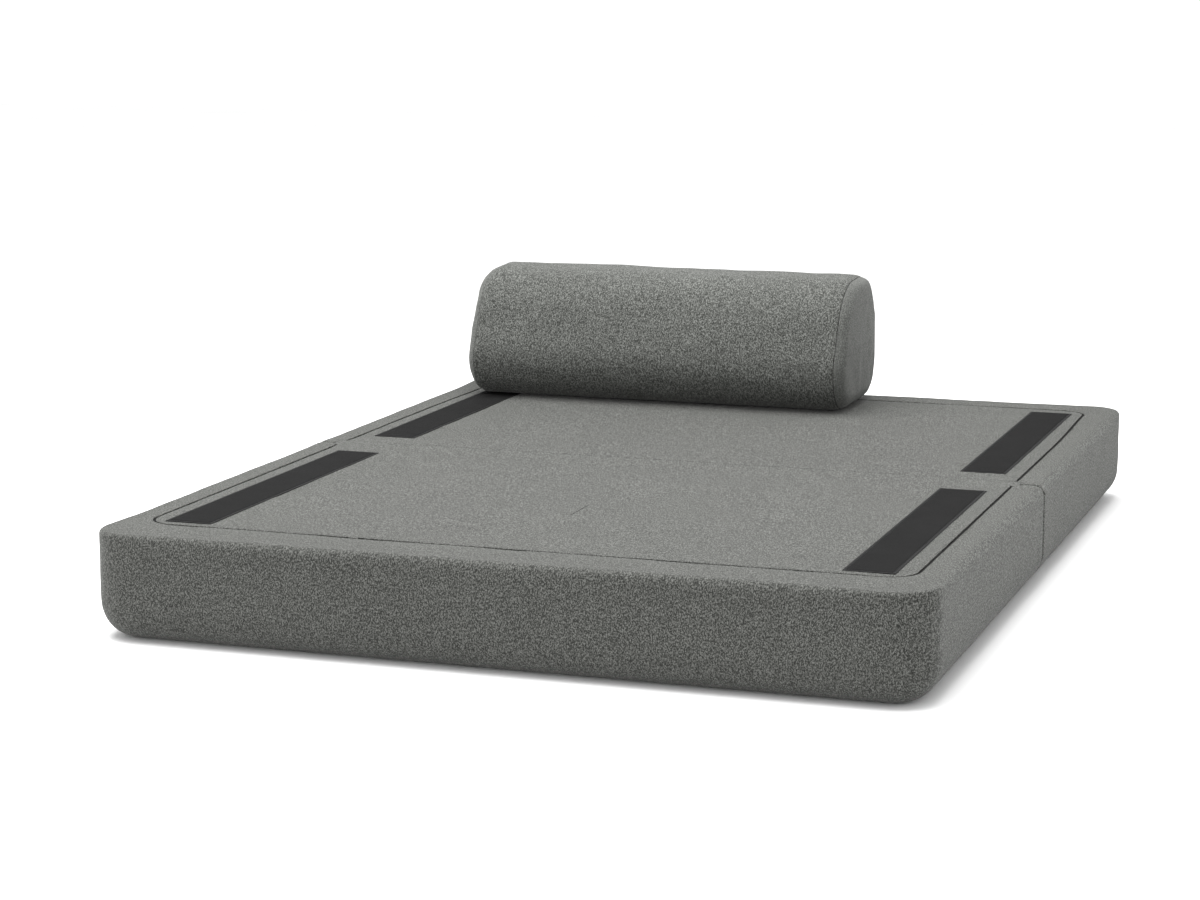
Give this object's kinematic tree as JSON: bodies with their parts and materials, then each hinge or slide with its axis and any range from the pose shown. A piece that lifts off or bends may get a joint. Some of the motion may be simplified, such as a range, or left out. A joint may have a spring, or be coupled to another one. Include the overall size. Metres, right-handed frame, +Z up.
{
  "type": "futon sofa bed",
  "caption": "Fold-out foam mattress in two padded halves joined by a fabric hinge, with hook-and-loop strips on top and a loose rounded bolster.",
  "frame": {"origin": "on the floor, under the middle of the fold line between the two halves", "axes": "+X along the fold, to the right as seen from the foot end; +Y from the fold towards the head end, where the bolster lies; +Z up"},
  "size_m": [1.55, 2, 0.4911],
  "materials": {
    "cover_fabric": "matte grey melange weave",
    "bolster_fabric": "matte grey melange weave",
    "base_fabric": "matte dark anti-slip weave",
    "hook_tape": "matte black hook tape",
    "loop_tape": "matte black brushed loop tape",
    "seam_tape": "matte woven tape",
    "zip_tape": "matte black tape with a coil chain",
    "zip_metal": "satin nickel",
    "liner": "white non-woven",
    "foam": "open-cell foam"
  },
  "bodies": {
    "rear": {"rear_foam_core": "foam", "rear_liner": "liner", "rear_cover": "cover_fabric", "rear_top_panel": "cover_fabric", "rear_base_panel": "base_fabric", "rear_seam_tape": "seam_tape", "rear_left_loop_strip": "loop_tape", "rear_right_loop_strip": "loop_tape", "rear_zip_chain": "zip_tape", "hinge_panel": "cover_fabric"},
    "front": {"front_foam_core": "foam", "front_liner": "liner", "front_cover": "cover_fabric", "front_top_panel": "cover_fabric", "front_base_panel": "cover_fabric", "front_seam_tape": "seam_tape", "front_left_hook_strip": "hook_tape", "front_right_hook_strip": "hook_tape", "front_zip_chain": "zip_tape"},
    "bolster": {"bolster_foam_core": "foam", "bolster_liner": "liner", "bolster_cover": "bolster_fabric", "bolster_left_end": "bolster_fabric", "bolster_right_end": "bolster_fabric", "bolster_zip_chain": "zip_tape"},
    "front_zip_slider": {"front_zip_slider": "zip_metal"},
    "front_zip_pull": {"front_zip_pull": "zip_metal"},
    "rear_zip_slider": {"rear_zip_slider": "zip_metal"},
    "rear_zip_pull": {"rear_zip_pull": "zip_metal"},
    "bolster_zip_slider": {"bolster_zip_slider": "zip_metal"},
    "bolster_zip_pull": {"bolster_zip_pull": "zip_metal"}
  },
  "joints": [
    {"name": "fold", "type": "hinge", "parent": "rear", "child": "front", "pos_m": [0, 0, 0.2018], "axis": [-1, 0, 0], "range_deg": [0, 180], "deforming": ["hinge_panel"]},
    {"name": "bolster_tip", "type": "hinge", "parent": "rear", "child": "bolster", "pos_m": [-0.245, 1.02, 0.2018], "axis": [-1, 0, 0], "range_deg": [0, 90]},
    {"name": "front_zip", "type": "slide", "parent": "front", "child": "front_zip_slider", "axis": [0, -1, 0], "range_m": [0, 0.712]},
    {"name": "front_zip_pull_flip", "type": "hinge", "parent": "front_zip_slider", "child": "front_zip_pull", "pos_m": [-0.76713, -0.154, 0.0259], "axis": [0.5736, 0, -0.8192], "range_deg": [0, 180]},
    {"name": "rear_zip", "type": "slide", "parent": "rear", "child": "rear_zip_slider", "axis": [-1, 0, 0], "range_m": [0, 1.272]},
    {"name": "rear_zip_pull_flip", "type": "hinge", "parent": "rear_zip_slider", "child": "rear_zip_pull", "pos_m": [0.636, 0.99213, 0.0259], "axis": [0, -0.5736, -0.8192], "range_deg": [0, 180]},
    {"name": "bolster_zip", "type": "slide", "parent": "bolster", "child": "bolster_zip_slider", "axis": [-1, 0, 0], "range_m": [0, 0.732]},
    {"name": "bolster_zip_pull_flip", "type": "hinge", "parent": "bolster_zip_slider", "child": "bolster_zip_pull", "pos_m": [0.121, 0.96995, 0.22742], "axis": [0, -0.6428, -0.766], "range_deg": [0, 180]}
  ],
  "couplings": [
    {"joint": "bolster_tip", "follows": "fold", "ratio": 0.5}
  ]
}
